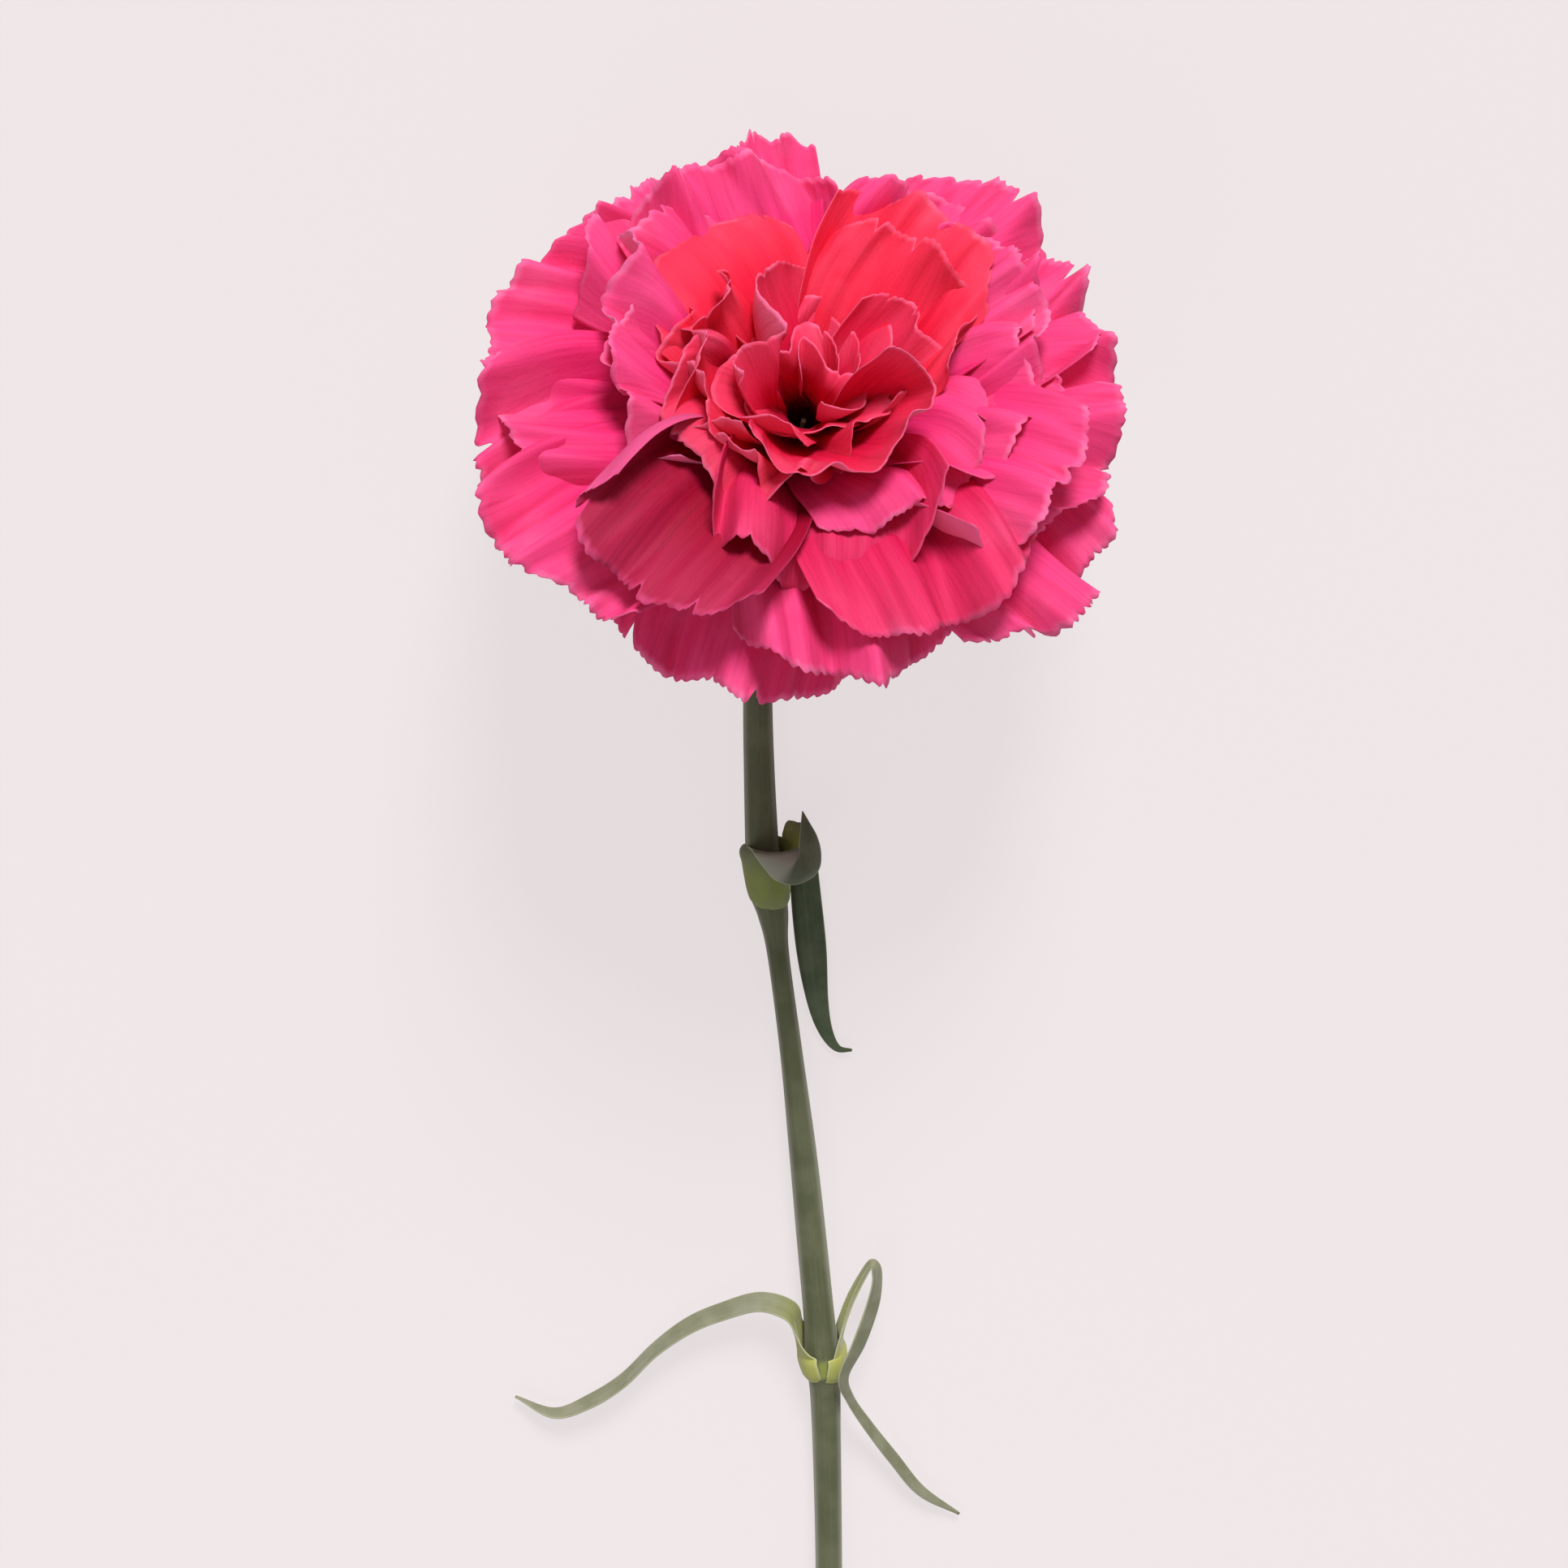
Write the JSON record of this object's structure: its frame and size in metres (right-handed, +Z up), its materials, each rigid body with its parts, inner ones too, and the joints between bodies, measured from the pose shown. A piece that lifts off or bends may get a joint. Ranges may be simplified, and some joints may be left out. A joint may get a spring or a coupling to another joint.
{
  "type": "cut carnation",
  "caption": "Cut carnation lying down: ruffled double pink bloom, green calyx, jointed stem with narrow clasping leaves, one folded over and one kinked.",
  "frame": {"origin": "centre of the bounding box in plan, at the surface that the flower lies on", "axes": "+Y from the stem's cut end towards the bloom, +Z up off the surface, +X to the right of the bloom seen from above"},
  "size_m": [0.0802, 0.236, 0.0591],
  "materials": {
    "stem": "satin, waxy green, stands in for plant stem",
    "calyx": "satin, waxy green, stands in for plant tissue",
    "bract": "satin, waxy green, stands in for plant tissue",
    "leaf": "matte, grey-green with a waxy bloom, stands in for plant tissue",
    "pistil": "satin, pale green, stands in for plant tissue",
    "petal": "matte, translucent pink, stands in for petal tissue"
  },
  "bodies": {
    "root": {"stem": "stem", "calyx": "calyx", "bract_1": "bract", "bract_2": "bract", "bract_3": "bract", "bract_4": "bract", "leaf_upper_hanging": "leaf", "leaf_upper_folded": "leaf", "leaf_lower_left": "leaf", "leaf_lower_right": "leaf", "pistil": "pistil", "petal_01": "petal", "petal_02": "petal", "petal_03": "petal", "petal_04": "petal", "petal_05": "petal", "petal_06": "petal", "petal_07": "petal", "petal_08": "petal", "petal_09": "petal", "petal_10": "petal", "petal_11": "petal", "petal_12": "petal", "petal_13": "petal", "petal_14": "petal", "petal_15": "petal", "petal_16": "petal", "petal_17": "petal", "petal_18": "petal", "petal_19": "petal", "petal_20": "petal", "petal_21": "petal", "petal_22": "petal", "petal_23": "petal", "petal_24": "petal", "petal_25": "petal", "petal_26": "petal", "petal_27": "petal", "petal_28": "petal", "petal_29": "petal", "petal_30": "petal", "petal_31": "petal", "petal_32": "petal", "petal_33": "petal", "petal_34": "petal", "petal_35": "petal", "petal_36": "petal"}
  },
  "joints": []
}
